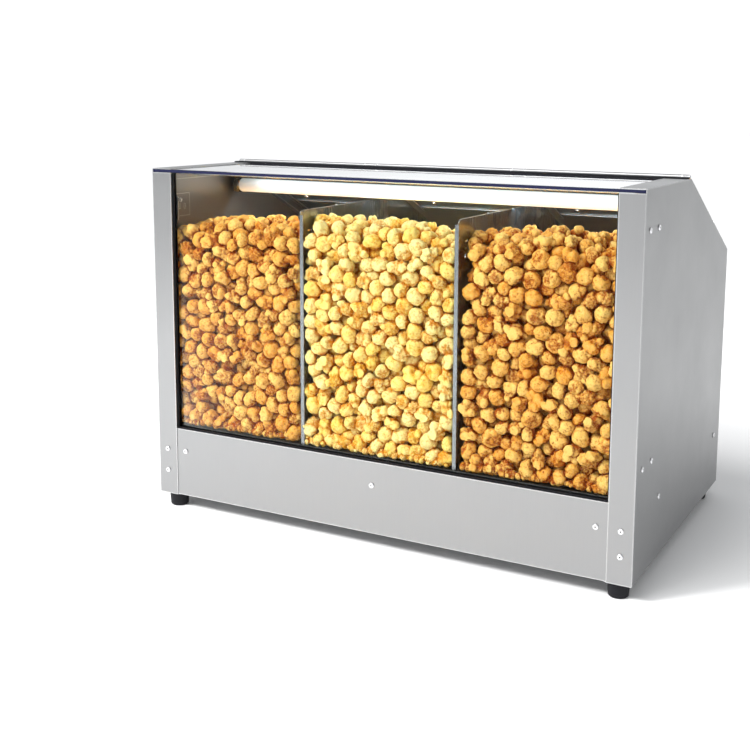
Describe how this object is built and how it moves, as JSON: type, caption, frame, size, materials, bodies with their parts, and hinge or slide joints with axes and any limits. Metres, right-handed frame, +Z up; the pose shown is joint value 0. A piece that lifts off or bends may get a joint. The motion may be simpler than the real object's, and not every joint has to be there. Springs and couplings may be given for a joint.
{
  "type": "countertop popcorn warmer",
  "caption": "Countertop stainless popcorn warming and display cabinet with glass front and top, bins between dividers, lamp, heated slotted floor, crumb drawer and flip-up rear doors.",
  "frame": {"origin": "on the surface the feet stand on, under the middle of the overall box", "axes": "+X to the right seen from the front, +Y from the glass front towards the operator's side, +Z up"},
  "size_m": [0.9044, 0.5848, 0.6321],
  "materials": {
    "brushed_steel": "fine vertical brushing, satin",
    "polished_steel": "polished stainless",
    "clear_glass": "clear toughened, dark at the cut edges",
    "lamp_glass": "frosted white tube",
    "white_paint": "satin white",
    "black_rubber": "matt",
    "heater_sheath": "heat-tinted, dull",
    "black_plastic": "moulded, fine grain",
    "grey_plastic": "moulded",
    "red_rocker": "translucent gloss",
    "green_rocker": "translucent gloss",
    "blade_brass": "plated",
    "cable_sheath": "white flex"
  },
  "bodies": {
    "cabinet": {"back_panel": "brushed_steel", "bottom_plate": "brushed_steel", "cable_duct": "brushed_steel", "control_panel": "brushed_steel", "deck_rail_front": "brushed_steel", "deck_rail_left": "brushed_steel", "deck_rail_right": "brushed_steel", "divider_left": "polished_steel", "divider_pins": "polished_steel", "divider_right": "polished_steel", "electrics_shroud": "brushed_steel", "element_clips": "brushed_steel", "feet": "black_rubber", "floor_deck": "brushed_steel", "foot_screws": "polished_steel", "front_base_panel": "brushed_steel", "front_glass": "clear_glass", "front_screws": "polished_steel", "glass_brackets": "brushed_steel", "glass_gasket": "black_rubber", "glass_ledge_left": "brushed_steel", "glass_ledge_right": "brushed_steel", "heater_elements": "heater_sheath", "hinge_rail": "brushed_steel", "hinge_rod": "polished_steel", "inlet_pins": "blade_brass", "lamp_batten": "white_paint", "lamp_cable": "cable_sheath", "lamp_driver": "grey_plastic", "lamp_end_caps": "polished_steel", "lamp_sockets": "black_plastic", "lamp_tube": "lamp_glass", "light_switch_housing": "black_plastic", "power_inlet": "black_plastic", "power_switch_housing": "black_plastic", "rear_screws": "polished_steel", "side_panel_left": "brushed_steel", "side_panel_right": "brushed_steel", "side_screws": "polished_steel", "slope_mullions": "brushed_steel", "terminal_block": "grey_plastic", "thermostat": "grey_plastic", "top_glass": "clear_glass", "top_glass_seal": "black_rubber", "tray_runners": "brushed_steel"},
    "door_left": {"door_left": "brushed_steel", "door_handle_left": "polished_steel"},
    "door_middle": {"door_middle": "brushed_steel", "door_handle_middle": "polished_steel"},
    "door_right": {"door_right": "brushed_steel", "door_handle_right": "polished_steel"},
    "crumb_drawer": {"crumb_tray": "brushed_steel", "tray_face": "brushed_steel", "tray_pull": "brushed_steel", "tray_walls": "brushed_steel"},
    "heat_knob": {"thermostat_knob": "black_plastic", "thermostat_shaft": "polished_steel"},
    "power_rocker": {"power_switch_rocker": "red_rocker"},
    "light_rocker": {"light_switch_rocker": "green_rocker"}
  },
  "joints": [
    {"name": "door_left_hinge", "type": "hinge", "parent": "cabinet", "child": "door_left", "pos_m": [-0.29765, -0.02932, 0.62779], "axis": [1, 0, 0], "range_deg": [0, 120]},
    {"name": "door_middle_hinge", "type": "hinge", "parent": "cabinet", "child": "door_middle", "pos_m": [0, -0.02932, 0.62779], "axis": [1, 0, 0], "range_deg": [0, 120]},
    {"name": "door_right_hinge", "type": "hinge", "parent": "cabinet", "child": "door_right", "pos_m": [0.29765, -0.02932, 0.62779], "axis": [1, 0, 0], "range_deg": [0, 120]},
    {"name": "crumb_drawer_slide", "type": "slide", "parent": "cabinet", "child": "crumb_drawer", "axis": [0, 1, 0], "range_m": [0, 0.45]},
    {"name": "heat_knob_turn", "type": "hinge", "parent": "cabinet", "child": "heat_knob", "pos_m": [0.23, 0.271, 0.112], "axis": [0, -1, 0], "range_deg": [0, 270]},
    {"name": "power_rocker_tilt", "type": "hinge", "parent": "cabinet", "child": "power_rocker", "pos_m": [0.36, 0.271, 0.112], "axis": [1, 0, 0], "range_deg": [0, 20]},
    {"name": "light_rocker_tilt", "type": "hinge", "parent": "cabinet", "child": "light_rocker", "pos_m": [0.31, 0.271, 0.112], "axis": [1, 0, 0], "range_deg": [0, 20]}
  ]
}
